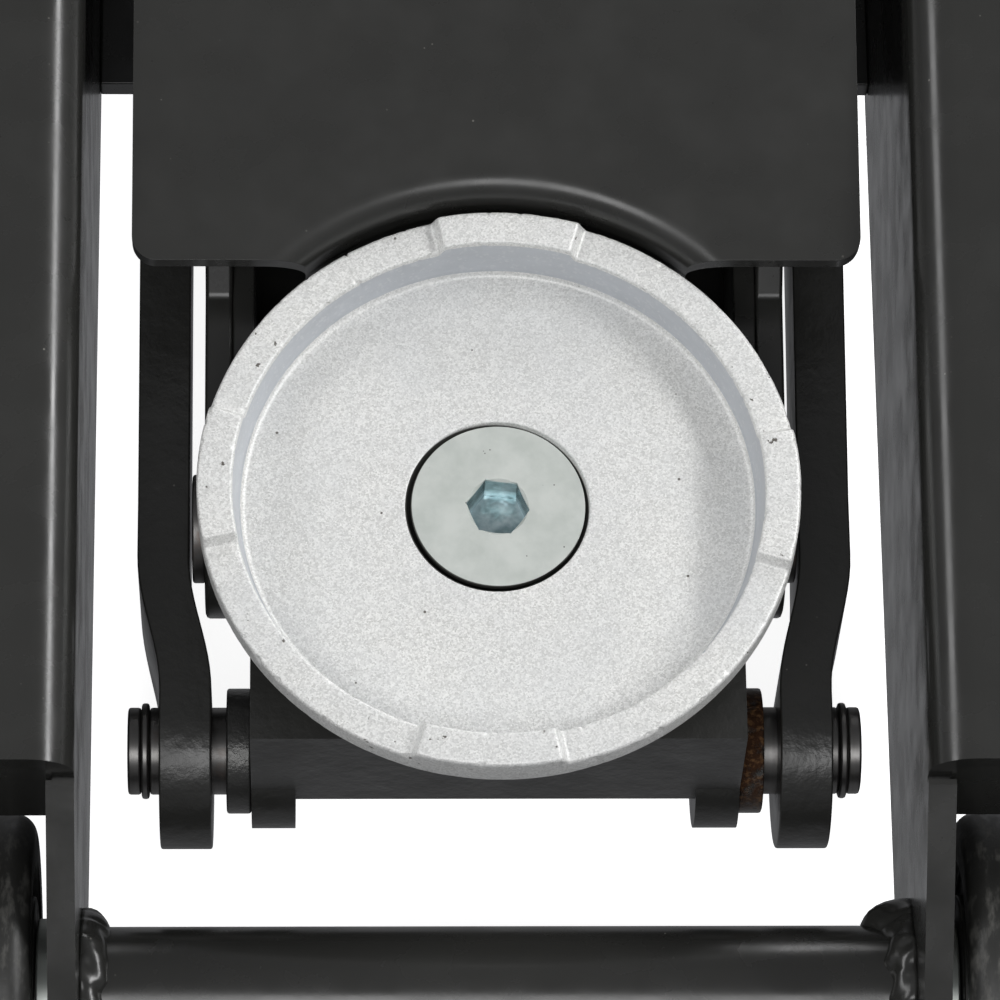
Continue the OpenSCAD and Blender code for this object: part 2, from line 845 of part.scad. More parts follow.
module handle_yoke() {
    base_t = 8;
    color(black) difference() {
        union() {
            along_handle() {
                translate([0, 0, socket_from]) cylinder(r = socket_r, h = socket_to - socket_from);
                translate([-yoke_ear_x[1], -18, socket_from]) cube([2 * yoke_ear_x[1], 36, base_t]);
                both_sides() plate_x(yoke_ear_x) {
                    circle(r = 16);
                    polygon([[-16, 0], [16, 0], [18, socket_from + 1], [-18, socket_from + 1]]);
                }
                both_sides() translate([yoke_ear_x[0] - 4, -4, socket_from + base_t - 1])
                    rotate([90, 0, 90]) linear_extrude(8) square([8, 22]);
            }
            both_sides() bar_x(9, [yoke_ear_x[0] + 0.5, yoke_ear_x[1] - 0.5], roller_pin);
        }
        along_handle() {
            translate([0, 0, socket_from + 6]) cylinder(r = pole_r + 0.1, h = 200);
            cylinder(r = 11, h = 60);
            translate([0, 20, 110]) rotate([-90, 0, 0]) cylinder(r = 5, h = 30, center = true);
        }
        bar_x(yoke_pin_r + run_gap, [-60, 60], handle_pivot);
        both_sides() bar_x(4, [20, 30], roller_pin);
    }
}

// Cam rollers on stub pins that press the pump plungers
module pump_rollers() {
    color(steel) both_sides() {
        bar_x(roller_r, [11.5, 20.5], roller_pin);
        bar_x(4, [20, 30], roller_pin);
    }
}

module handle_lock_screw() {
    color(zinc) along_handle() {
        translate([0, pole_r - 1.5, 110]) rotate([-90, 0, 0]) cylinder(r = 5, h = 20);
        translate([0, pole_r + 14, 110]) rotate([-90, 0, 0]) cylinder(r = 9, h = 9);
    }
}

module pump_plungers() {
    color(steel) both_sides() {
        bar_z(plunger_r, [62, plunger_top_z], [plunger_x, handle_pivot[0] + plunger_dy]);
        bar_z(9.5, [plunger_top_z - 4, plunger_top_z], [plunger_x, handle_pivot[0] + plunger_dy]);
    }
}

module plunger_springs() {
    color(zinc) both_sides() difference() {
        bar_z(10, [80, plunger_top_z - 4.2], [plunger_x, handle_pivot[0] + plunger_dy]);
        bar_z(8, [70, plunger_top_z], [plunger_x, handle_pivot[0] + plunger_dy]);
    }
}

module handle_lower_tube() {
    color(black) along_handle() difference() {
        translate([0, 0, pole_from]) cylinder(r = pole_r, h = join_to - pole_from);
        translate([0, 0, pole_from - 1]) cylinder(r = pole_r - tube_wall, h = join_to);
        translate([0, 0, 103]) difference() {
            cylinder(r = pole_r + 1, h = 14);
            translate([0, 0, -1]) cylinder(r = pole_r - 1.8, h = 16);
        }
    }
}

module handle_upper_tube() {
    color(black) along_handle() difference() {
        union() {
            translate([0, 0, join_to]) cylinder(r = pole_r, h = handle_l - 4 - join_to);
            translate([0, 0, join_from]) cylinder(r = pole_r - tube_wall, h = join_to - join_from + 1);
        }
        translate([0, 0, join_from - 1]) cylinder(r = pole_r - 2 * tube_wall, h = handle_l);
    }
}

module handle_grip() {
    color(rubber) along_handle() difference() {
        union() {
            translate([0, 0, handle_l - 130]) cylinder(r = pole_r + 3, h = 126);
            translate([0, 0, handle_l - 4]) cylinder(r1 = pole_r + 3, r2 = pole_r, h = 4);
            for (i = [0:8]) translate([0, 0, handle_l - 120 + i * 12]) cylinder(r = pole_r + 4.2, h = 6);
        }
        translate([0, 0, handle_l - 131]) cylinder(r = pole_r + 0.05, h = 127);
    }
}

module handle_bumper() {
    color(rubber) along_handle() difference() {
        union() {
            translate([0, 0, 300]) cylinder(r = pole_r + 9, h = 140);
            for (z = [297, 440]) translate([0, 0, z]) cylinder(r = pole_r + 5, h = 3);
        }
        translate([0, 0, 296]) cylinder(r = pole_r + 0.05, h = 150);
    }
}

// Plug in the foot of the handle, with the ball that drives the release valve
module handle_drive_ball() {
    color(steel) along_handle() {
        sphere(r = drive_ball_r);
        cylinder(r = 3.2, h = 30);
        translate([0, 0, 28]) cylinder(r = 9, h = pole_from - 27);
        translate([0, 0, pole_from]) cylinder(r = pole_r - tube_wall - 0.05, h = 18);
    }
}

module release_valve() {
    cup_z = [handle_pivot[1] - 13, handle_pivot[1] - 3];
    color(steel) difference() {
        union() {
            bar_z(valve_cup_r, cup_z, [0, handle_pivot[0]]);
            bar_z(valve_stem_r, [60, cup_z[0] + 1], [0, handle_pivot[0]]);
        }
        translate([0, handle_pivot[0], handle_pivot[1]]) sphere(r = drive_ball_r + 0.3);
    }
}

placed() side_plate(left);  // side_plate_left
placed() side_plate(right);  // side_plate_right
placed() front_cross_tube();
placed() tube_weld_beads();
placed() tie_plate();
placed() front_axle();
placed() axle_washers();
placed() axle_nuts();
placed() caster_mounts();
placed() main_pivot_shaft();
placed() main_pivot_nuts();
placed() link_pivot_pins();
placed() pump_block();
placed() oil_tank();
placed() ram_cylinder();
placed() gland_nut();
placed() oil_filler_plug();
placed() valve_caps();
placed() pump_block_bolts();
placed() spring_anchor_rod();
placed() rear_cover();
placed() cover_screws();
placed() yoke_pivot_bolts();
placed() arm_top_plate();
placed() arm_web(left);  // arm_web_left
placed() arm_web(right);  // arm_web_right
placed() arm_front_cheeks();
placed() arm_brace();
placed() arm_hub_tube();
placed() ram_lugs();
placed() ram_cross_pin();
placed() arm_front_pin();
placed() saddle_bracket();
placed() link_front_pin();
placed() link_pin_collars();
placed() retaining_rings();
placed() saddle_screw();
placed() saddle();
placed() link_rod(left);  // link_rod_left
placed() link_rod(right);  // link_rod_right
placed() ram_rod();
placed() ram_crosshead();
placed() return_springs();
placed() handle_yoke();
placed() pump_rollers();
placed() handle_lock_screw();
placed() pump_plungers();
placed() plunger_springs();
placed() handle_lower_tube();
placed() handle_upper_tube();
placed() handle_grip();
placed() handle_bumper();
placed() handle_drive_ball();
placed() release_valve();
placed() front_wheel(left);  // front_wheel_left
placed() front_wheel(right);  // front_wheel_right
placed() caster_fork(left);  // caster_fork_left
placed() caster_fork(right);  // caster_fork_right
placed() caster_wheel(left);  // caster_wheel_left
placed() caster_wheel(right);  // caster_wheel_right
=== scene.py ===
"""Looks of a low-profile hydraulic trolley jack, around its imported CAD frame."""
import json
import math

import bpy
from mathutils import Matrix, Vector, noise


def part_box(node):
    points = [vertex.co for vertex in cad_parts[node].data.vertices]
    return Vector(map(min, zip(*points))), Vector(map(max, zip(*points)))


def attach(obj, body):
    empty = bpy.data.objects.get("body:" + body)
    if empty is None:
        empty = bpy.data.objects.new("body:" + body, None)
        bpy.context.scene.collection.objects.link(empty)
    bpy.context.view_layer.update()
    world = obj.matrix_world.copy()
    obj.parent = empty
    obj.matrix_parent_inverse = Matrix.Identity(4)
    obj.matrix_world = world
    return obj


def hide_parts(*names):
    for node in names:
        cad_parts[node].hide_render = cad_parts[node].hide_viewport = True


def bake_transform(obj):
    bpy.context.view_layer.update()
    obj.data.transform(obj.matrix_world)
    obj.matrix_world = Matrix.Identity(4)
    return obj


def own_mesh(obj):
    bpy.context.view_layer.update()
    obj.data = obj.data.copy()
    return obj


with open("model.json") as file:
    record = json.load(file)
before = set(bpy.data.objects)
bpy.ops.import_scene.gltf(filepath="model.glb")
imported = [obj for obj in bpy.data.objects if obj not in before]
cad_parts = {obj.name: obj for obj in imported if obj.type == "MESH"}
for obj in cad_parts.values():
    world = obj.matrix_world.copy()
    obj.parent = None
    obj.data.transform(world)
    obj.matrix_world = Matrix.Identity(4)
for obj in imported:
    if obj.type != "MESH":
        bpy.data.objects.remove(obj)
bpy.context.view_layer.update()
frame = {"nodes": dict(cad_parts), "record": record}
MM = 0.001
BLACK = (0.021, 0.021, 0.0195)
# Dark colour of the painted shade in the narrow ring between the saddle's bore and its screw.
GAP_SHADE = (0.05, 0.05, 0.046)
nodes = frame["nodes"]

saddle_low, saddle_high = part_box("saddle")
SADDLE_AXIS = (saddle_low + saddle_high) / 2
LUG_H = 2.2 * MM
RIM_Z = saddle_high.z - LUG_H
SCREW_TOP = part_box("saddle_screw")[1].z


# ---- Node helpers ----

class Nodes:
    """Short calls for building one material's node tree."""

    def __init__(self, name):
        self.material = bpy.data.materials.new(name)
        self.material.use_nodes = True
        self.tree = self.material.node_tree
        self.tree.nodes.clear()
        self.shader = self.add("ShaderNodeBsdfPrincipled")
        output = self.add("ShaderNodeOutputMaterial")
        self.link(self.shader.outputs["BSDF"], output.inputs["Surface"])
        self.place = self.add("ShaderNodeTexCoord").outputs["Object"]

    def add(self, kind, **settings):
        node = self.tree.nodes.new(kind)
        for key, value in settings.items():
            setattr(node, key, value)
        return node

    def link(self, out_socket, in_socket):
        self.tree.links.new(out_socket, in_socket)

    def set(self, **sockets):
        """Sets the shader's own sockets, such as Metallic=1."""
        for name, value in sockets.items():
            self.shader.inputs[name.replace("_", " ")].default_value = value

    def stretched(self, scale):
        """The object's coordinates with a scale for each axis, for marks that run one way."""
        mapping = self.add("ShaderNodeMapping")
        self.link(self.place, mapping.inputs["Vector"])
        mapping.inputs["Scale"].default_value = scale
        return mapping.outputs["Vector"]

    def noise(self, size, detail=4, roughness=0.55, place=None):
        """Noise whose features are about size metres across."""
        node = self.add("ShaderNodeTexNoise")
        self.link(place or self.place, node.inputs["Vector"])
        node.inputs["Scale"].default_value = 1 / size
        node.inputs["Detail"].default_value = detail
        node.inputs["Roughness"].default_value = roughness
        return node.outputs["Fac"]

    def cells(self, size):
        """Distance to the middle of the nearest cell, for specks and pits."""
        node = self.add("ShaderNodeTexVoronoi")
        self.link(self.place, node.inputs["Vector"])
        node.inputs["Scale"].default_value = 1 / size
        return node.outputs["Distance"]

    def grains(self, size):
        """One random value for each small cell, for metal flake and cast grain."""
        node = self.add("ShaderNodeTexVoronoi")
        self.link(self.place, node.inputs["Vector"])
        node.inputs["Scale"].default_value = 1 / size
        split = self.add("ShaderNodeSeparateColor")
        self.link(node.outputs["Color"], split.inputs["Color"])
        return split.outputs["Red"]

    def distance(self, point, along=(1, 1, 1)):
        """Distance from a point, or from a line through it where along holds a zero."""
        away = self.add("ShaderNodeVectorMath", operation="SUBTRACT")
        self.link(self.place, away.inputs[0])
        away.inputs[1].default_value = point
        flat = self.add("ShaderNodeVectorMath", operation="MULTIPLY")
        self.link(away.outputs["Vector"], flat.inputs[0])
        flat.inputs[1].default_value = along
        length = self.add("ShaderNodeVectorMath", operation="LENGTH")
        self.link(flat.outputs["Vector"], length.inputs[0])
        return length.outputs["Value"]

    def ramp(self, value, low, high, low_out=0.0, high_out=1.0):
        """Maps value from low..high to low_out..high_out, clamped."""
        node = self.add("ShaderNodeMapRange")
        self.link(value, node.inputs["Value"])
        ends = {"From Min": low, "From Max": high, "To Min": low_out, "To Max": high_out}
        for key, number in ends.items():
            node.inputs[key].default_value = number
        return node.outputs["Result"]

    def math(self, operation, a, b):
        node = self.add("ShaderNodeMath", operation=operation)
        for index, value in enumerate((a, b)):
            if isinstance(value, (int, float)):
                node.inputs[index].default_value = value
            else:
                self.link(value, node.inputs[index])
        return node.outputs["Value"]

    def mix(self, factor, a, b):
        """Mixes two colours, each a tuple or a socket."""
        node = self.add("ShaderNodeMix", data_type="RGBA")
        self.link(factor, node.inputs[0])
        for index, value in ((6, a), (7, b)):
            if isinstance(value, tuple):
                node.inputs[index].default_value = (*value, 1)
            else:
                self.link(value, node.inputs[index])
        return node.outputs[2]

    def bump(self, height, depth, below=None):
        """Adds bump of about depth metres, on top of an earlier bump."""
        node = self.add("ShaderNodeBump")
        node.inputs["Distance"].default_value = depth
        node.inputs["Strength"].default_value = 1
        self.link(height, node.inputs["Height"])
        if below is not None:
            self.link(below, node.inputs["Normal"])
        self.link(node.outputs["Normal"], self.shader.inputs["Normal"])
        return node.outputs["Normal"]


def edge_wear(n, width, spread):
    """1 on worn outer edges, broken up by noise."""
    bevelled = n.add("ShaderNodeBevel", samples=4)
    bevelled.inputs["Radius"].default_value = width
    flat = n.add("ShaderNodeNewGeometry")
    dot = n.add("ShaderNodeVectorMath", operation="DOT_PRODUCT")
    n.link(bevelled.outputs["Normal"], dot.inputs[0])
    n.link(flat.outputs["Normal"], dot.inputs[1])
    turned = n.ramp(dot.outputs["Value"], 0.97, 0.86)
    return n.math("MULTIPLY", turned, n.ramp(n.noise(spread), 0.5, 0.62))


# ---- Materials ----

def black_paint(name, roughness=0.36, orange_peel=0.012, lumps=0.0, dust=0.5):
    """Black paint on steel: orange peel, faint handling marks and specks of dust."""
    n = Nodes(name)
    blotch = n.noise(0.035, 3)
    speck_place = n.ramp(n.cells(0.0042), 0.035, 0.055, 1, 0)
    thin_out = n.ramp(n.noise(0.02, 2), 0.52, 0.6)
    specks = n.math("MULTIPLY", n.math("MULTIPLY", speck_place, thin_out), dust)
    tone = n.mix(blotch, BLACK, tuple(c * 1.35 for c in BLACK))
    colour = n.mix(specks, tone, (0.32, 0.31, 0.28))
    n.link(colour, n.shader.inputs["Base Color"])
    worn = n.ramp(n.noise(0.012, 5), 0.35, 0.7, roughness - 0.05, roughness + 0.09)
    n.link(worn, n.shader.inputs["Roughness"])
    n.set(Specular_IOR_Level=0.5, Coat_Weight=0.12, Coat_Roughness=0.22)
    peel = n.bump(n.noise(0.0016, 2), orange_peel * MM)
    if lumps:
        n.bump(n.noise(0.005, 4, 0.6), lumps * MM, peel)
    return n.material


def cast_zinc():
    """Zinc-plated sand casting: sparkling grain, soft grey clouds and small dark pits, and painted shade
    in the gap round the screw.
    """
    n = Nodes("cast_zinc")
    grain = n.grains(0.00028)
    coarse = n.noise(0.0009, 3, 0.7)
    cloud = n.noise(0.02, 3)
    tone = n.mix(n.ramp(grain, 0, 1), (0.60, 0.60, 0.58), (0.92, 0.92, 0.90))
    tone = n.mix(n.ramp(coarse, 0.4, 0.6, 0, 0.25), tone, (0.80, 0.80, 0.79))
    tone = n.mix(n.ramp(cloud, 0.35, 0.65, 0, 0.25), tone, (0.66, 0.68, 0.70))
    pit_place = n.ramp(n.noise(0.006, 2), 0.6, 0.63)
    pits = n.math("MULTIPLY", n.ramp(n.cells(0.0036), 0.05, 0.085, 1, 0), pit_place)
    tone = n.mix(edge_wear(n, 0.6 * MM, 0.004), tone, (1.0, 1.0, 0.99))
    rim = n.ramp(n.distance((0, SADDLE_AXIS.y, 0), (1, 1, 0)), 47.2 * MM, 48.4 * MM)
    flaw = n.math("MULTIPLY", n.ramp(n.noise(0.0022, 3, 0.6, n.stretched((1, 1, 2.2))), 0.69, 0.72), rim)
    flaws = n.math("MAXIMUM", pits, flaw)
    # Painted shade: a dark ring in the bore round the screw, centred a little left of and forward of the
    # axis so it is wider on those sides.
    gap_shade = n.ramp(n.distance((-0.18 * MM, SADDLE_AXIS.y - 0.18 * MM, 0), (1, 1, 0)), 16.6 * MM, 16.5 * MM)
    tone = n.mix(gap_shade, tone, GAP_SHADE)
    colour = n.mix(flaws, tone, (0.15, 0.14, 0.125))
    n.link(colour, n.shader.inputs["Base Color"])
    n.link(n.ramp(grain, 0, 1, 0.42, 0.58), n.shader.inputs["Roughness"])
    n.set(Metallic=0.3, Specular_IOR_Level=0.5)
    skin = n.bump(grain, 0.012 * MM)
    skin = n.bump(n.noise(0.0009, 3, 0.7), 0.03 * MM, skin)
    n.bump(n.math("MULTIPLY", flaws, -1), 0.15 * MM, skin)
    return n.material


def shaded_cast_wall():
    """The drafted wall inside the cup: smoother than the sand-cast faces, with a darker, bluer tone that
    is painted shade and painted reflection.
    """
    n = Nodes("shaded_cast_wall")
    streak = n.noise(0.006, 4, 0.6, n.stretched((1, 1, 3)))
    grain = n.grains(0.0005)
    # Painted shade and reflection: the wall's tone is darker and bluer than the sand-cast faces.
    tone = n.mix(streak, (0.46, 0.48, 0.51), (0.60, 0.625, 0.66))
    tone = n.mix(n.ramp(grain, 0.8, 1, 0, 0.35), tone, (0.70, 0.71, 0.72))
    n.link(tone, n.shader.inputs["Base Color"])
    n.link(n.ramp(streak, 0.3, 0.7, 0.34, 0.48), n.shader.inputs["Roughness"])
    n.set(Metallic=0.3)
    n.bump(n.noise(0.0012, 3), 0.02 * MM)
    return n.material


def zinc_plate(name="zinc_plate", tone=(0.46, 0.49, 0.465), roughness=0.33):
    """Smooth pale zinc plating with faint stains and a few dark specks."""
    n = Nodes(name)
    stain = n.noise(0.006, 4, 0.6)
    colour = n.mix(n.ramp(stain, 0.35, 0.65), tuple(c * 0.84 for c in tone), tone)
    warm = n.ramp(n.noise(0.011, 3), 0.55, 0.7, 0, 0.5)
    colour = n.mix(warm, colour, (tone[0], tone[1] * 0.93, tone[2] * 0.82))
    speck_place = n.ramp(n.noise(0.004, 2), 0.58, 0.62)
    speck = n.math("MULTIPLY", n.ramp(n.cells(0.0022), 0.05, 0.08, 1, 0), speck_place)
    colour = n.mix(speck, colour, (0.13, 0.13, 0.12))
    n.link(colour, n.shader.inputs["Base Color"])
    n.link(n.ramp(stain, 0.3, 0.7, roughness, roughness + 0.12), n.shader.inputs["Roughness"])
    n.set(Metallic=0.8)
    n.bump(n.noise(0.0009, 3), 0.012 * MM)
    return n.material


def screw_zinc():
    """Zinc plate that turns blue-green and glassy inside the screw's socket, with painted shade
    darkening the socket's walls and the head's outer edge.
    """
    n = Nodes("screw_zinc")
    radius = n.distance((0, SADDLE_AXIS.y, 0), (1, 1, 0))
    depth = n.distance((0, 0, SCREW_TOP), (0, 0, 1))
    near_axis = n.ramp(radius, 7 * MM, 6.5 * MM)
    socket = n.math("MULTIPLY", near_axis, n.ramp(depth, 0.5 * MM, 0.7 * MM))
    bottom = n.math("MULTIPLY", near_axis, n.ramp(depth, 4.2 * MM, 6.4 * MM))
    # Painted shade: the head's outer edge turns dark in the gap to the saddle, centred a little right
    # and back so the dark band is wider to the left and front.
    gap_shade = n.ramp(n.distance((0.15 * MM, SADDLE_AXIS.y + 0.15 * MM, 0), (1, 1, 0)), 15.6 * MM, 15.7 * MM)
    stain = n.noise(0.006, 4, 0.6)
    colour = n.mix(n.ramp(stain, 0.35, 0.65), (0.56, 0.595, 0.56), (0.66, 0.69, 0.655))
    speck_place = n.ramp(n.noise(0.004, 2), 0.56, 0.6)
    speck = n.math("MULTIPLY", n.ramp(n.cells(0.0020), 0.05, 0.09, 1, 0), speck_place)
    colour = n.mix(speck, colour, (0.12, 0.12, 0.11))
    # Painted shade: the socket's walls are dark blue-green; its floor, deeper down, is pale blue-green.
    glass = n.ramp(n.noise(0.0028, 3, 0.5), 0.38, 0.62)
    socket_wall_shade = n.mix(glass, (0.10, 0.15, 0.155), (0.30, 0.40, 0.40))
    pale = n.mix(glass, (0.36, 0.50, 0.53), (0.72, 0.86, 0.90))
    inside = n.mix(bottom, socket_wall_shade, pale)
    colour = n.mix(gap_shade, colour, GAP_SHADE)
    n.link(n.mix(socket, colour, inside), n.shader.inputs["Base Color"])
    n.link(n.ramp(socket, 0, 1, 0.4, 0.22), n.shader.inputs["Roughness"])
    n.link(n.ramp(socket, 0, 1, 0.3, 0.5), n.shader.inputs["Metallic"])
    skin = n.bump(n.noise(0.0008, 3), 0.012 * MM)
    n.bump(n.math("MULTIPLY", n.noise(0.0035, 2), bottom), 0.35 * MM, skin)
    return n.material


def rusty_collar():
    """Oiled steel with a patch of brown rust on the right-hand collar."""
    n = Nodes("rusty_collar")
    stain = n.noise(0.004, 5, 0.65)
    patch = n.distance((46 * MM, SADDLE_AXIS.y - 33 * MM, 43 * MM))
    rust = n.math("MULTIPLY", n.ramp(patch, 15 * MM, 8 * MM), n.ramp(stain, 0.36, 0.5))
    light = n.ramp(n.noise(0.0012, 3), 0.5, 0.62)
    brown = n.mix(light, (0.075, 0.032, 0.014), (0.22, 0.115, 0.05))
    n.link(n.mix(rust, (0.07, 0.07, 0.068), brown), n.shader.inputs["Base Color"])
    n.link(n.ramp(rust, 0, 1, 0.3, 0.85), n.shader.inputs["Roughness"])
    n.set(Metallic=0.55)
    skin = n.bump(n.noise(0.0011, 4, 0.6), 0.15 * MM)
    n.bump(n.math("MULTIPLY", n.noise(0.0025, 4, 0.7), rust), 0.8 * MM, skin)
    return n.material


def bare_steel(name="bare_steel", tone=(0.20, 0.195, 0.19), rust=0.45):
    """Oiled turned steel, with a little brown in patches."""
    n = Nodes(name)
    stain = n.noise(0.008, 5, 0.6)
    rusty = n.ramp(stain, 0.56, 0.7, 0, rust)
    lines = n.noise(0.0006, 2, 0.5, n.stretched((1, 0.08, 0.08)))
    colour = n.mix(lines, tuple(c * 0.7 for c in tone), tone)
    colour = n.mix(rusty, colour, (0.13, 0.065, 0.03))
    n.link(colour, n.shader.inputs["Base Color"])
    n.link(n.ramp(stain, 0.3, 0.7, 0.28, 0.5), n.shader.inputs["Roughness"])
    n.set(Metallic=0.9)
    n.bump(lines, 0.01 * MM)
    return n.material


def dark_iron(name="wheel_paint"):
    """Black wheel with a tread rubbed grey and dusty."""
    n = Nodes(name)
    rub = n.noise(0.006, 5, 0.65, n.stretched((3, 1, 1)))
    colour = n.mix(n.ramp(rub, 0.5, 0.72), BLACK, (0.10, 0.098, 0.09))
    n.link(colour, n.shader.inputs["Base Color"])
    n.link(n.ramp(rub, 0.3, 0.7, 0.34, 0.6), n.shader.inputs["Roughness"])
    skin = n.bump(n.noise(0.003, 4, 0.6), 0.06 * MM)
    n.bump(n.noise(0.0008, 2), 0.015 * MM, skin)
    return n.material


def moulded(name, tone, roughness, grain):
    """Moulded rubber, foam or nylon: fine grain and dull scuffs."""
    n = Nodes(name)
    scuff = n.noise(0.01, 5, 0.6)
    colour = n.mix(n.ramp(scuff, 0.45, 0.75), tone, tuple(c * 1.9 + 0.01 for c in tone))
    n.link(colour, n.shader.inputs["Base Color"])
    n.link(n.ramp(scuff, 0.3, 0.7, roughness - 0.08, roughness + 0.08), n.shader.inputs["Roughness"])
    n.set(Specular_IOR_Level=0.4)
    n.bump(n.noise(grain, 3, 0.6), 0.25 * grain)
    return n.material


MATERIALS = {
    "chassis_paint": black_paint("chassis_paint", 0.24, 0.010),
    "arm_paint": black_paint("arm_paint", 0.3, 0.01, dust=0.35),
    "forging_paint": black_paint("forging_paint", 0.33, 0.02, lumps=0.35, dust=0.3),
    "saddle_casting": cast_zinc(),
    "zinc_fastener": zinc_plate(),
    "bare_steel": bare_steel(),
    "wheel_iron": dark_iron(),
    "caster_tyre": moulded("caster_nylon", (0.045, 0.045, 0.047), 0.45, 0.0012),
    "grip_rubber": moulded("grip_rubber", (0.018, 0.018, 0.018), 0.62, 0.0008),
    "foam_bumper": moulded("foam_bumper", (0.022, 0.022, 0.022), 0.8, 0.0014),
    "spring_steel": zinc_plate("spring_steel", (0.42, 0.43, 0.43), 0.26),
}
OWN_MATERIALS = {"saddle_screw": screw_zinc(), "link_pin_collars": rusty_collar()}


# ---- Mesh helpers ----

def mesh_object(name, vertices, faces, slot):
    mesh = bpy.data.meshes.new(name)
    mesh.from_pydata([tuple(v) for v in vertices], [], faces)
    mesh.update()
    obj = bpy.data.objects.new(name, mesh)
    bpy.context.scene.collection.objects.link(obj)
    mesh.polygons.foreach_set("use_smooth", [True] * len(mesh.polygons))
    mesh.materials.append(MATERIALS[slot])
    return obj


def soften(obj, width):
    """Welds, drops flat seams and rounds the sharp edges, so that they catch the light."""
    weld = obj.modifiers.new("weld", "WELD")
    weld.merge_threshold = 0.002 * MM
    merge = obj.modifiers.new("merge_flat_faces", "DECIMATE")
    merge.decimate_type = "DISSOLVE"
    merge.angle_limit = math.radians(0.3)
    bevel = obj.modifiers.new("round_edges", "BEVEL")
    bevel.width = width
    bevel.segments = 2
    bevel.limit_method = "ANGLE"
    bevel.angle_limit = math.radians(30)
    bevel.harden_normals = True
    bevel.miter_outer = "MITER_ARC"


def smooth_cad(obj):
    for name in ("custom_normal", "sharp_edge", "sharp_face"):
        attribute = obj.data.attributes.get(name)
        if attribute:
            obj.data.attributes.remove(attribute)
    obj.data.polygons.foreach_set("use_smooth", [True] * len(obj.data.polygons))


# ---- CAD nodes: materials and rounded edges ----

EDGE_MM = {
    "side_plate_left": 0.8, "side_plate_right": 0.8, "arm_top_plate": 0.9, "saddle_bracket": 1.6,
    "link_rod_left": 1.3, "link_rod_right": 1.3, "arm_web_left": 0.8, "arm_web_right": 0.8,
    "arm_front_cheeks": 0.7, "pump_block": 1.2, "handle_yoke": 1.0, "ram_lugs": 0.8,
    "link_front_pin": 0.5,
    "saddle_screw": 0.25, "rear_cover": 0.4, "caster_mounts": 0.6,
}


def dress_cad_nodes():
    slot_of = {s["node"]: s["material_slot"] for s in frame["record"]["subparts"]}
    for name, obj in nodes.items():
        smooth_cad(obj)
        obj.data.materials.clear()
        obj.data.materials.append(OWN_MATERIALS.get(name) or MATERIALS[slot_of[name]])
        soften(obj, EDGE_MM.get(name, 0.45) * MM)


# ---- Saddle ----

def arc(centre, radius, start, end, steps):
    """Points (r, z) of an arc, angles in degrees."""
    angles = [math.radians(start + (end - start) * i / steps) for i in range(steps + 1)]
    return [(centre[0] + radius * math.cos(a), centre[1] + radius * math.sin(a)) for a in angles]


def smoothstep(low, high, value):
    t = min(max((value - low) / (high - low), 0), 1)
    return t * t * (3 - 2 * t)


LUG_HALF_ANGLE = 14.4
LUG_TURN = -2.4
LUG_SLOPE = 1.9


def lug_height(angle):
    """Height of the rim above its low level, 0 to 1, at an angle in degrees."""
    off = abs((angle - LUG_TURN + 45) % 90 - 45)
    return 1 - smoothstep(LUG_HALF_ANGLE - LUG_SLOPE / 2, LUG_HALF_ANGLE + LUG_SLOPE / 2, off)


def saddle_profile():
    """The section as (r, z, share of the lugs' height, on the smooth wall), in mm from the rim."""
    floor, foot = -8.0, -13.0
    low = [(8.05, -21.0), (14.0, -21.0), (14.0, foot), (33.0, foot), (34.5, foot + 0.3)]
    low += [(50.6, -8.4), (51.2, -7.8)]
    points = [(r, z, 0.0, 0) for r, z in low]
    points += [(r, z, 0.0, 0) for r, z in arc((51.6, -4.2), 2.4, -40, 0, 4)]
    points += [(54.0, -2.4, 0.3, 0), (54.0, -1.2, 0.8, 0)]
    points += [(r, z, 1.0, 0) for r, z in arc((53.2, -0.8), 0.8, 0, 90, 5)]
    points += [(52.4, 0.0, 1.0, 0), (50.4, 0.0, 1.0, 0), (49.0, 0.0, 1.0, 0)]
    points += [(r, z, 1.0, 0) for r, z in arc((48.2, -0.6), 0.6, 90, 160, 4)]
    points += [(47.55, -1.0, 0.9, 1), (47.45, -2.0, 0.5, 1), (47.25, -3.2, 0.0, 1)]
    points += [(46.55, -6.6, 0.0, 1), (46.45, -6.85, 0.0, 1), (46.25, -6.95, 0.0, 0)]
    points += [(r, z, 0.0, 0) for r, z in arc((45.15, -6.9), 1.1, -8, -90, 6)]
    points += [(r, floor, 0.0, 0) for r in (42.0, 36.0, 30.0, 24.0, 20.0, 17.2)]
    points += [(r, z, 0.0, 0) for r, z in arc((16.9, floor - 0.4), 0.4, 90, 180, 3)]
    points += [(16.3, floor - 1.3, 0.0, 0), (8.05, floor - 9.6, 0.0, 0)]
    return points


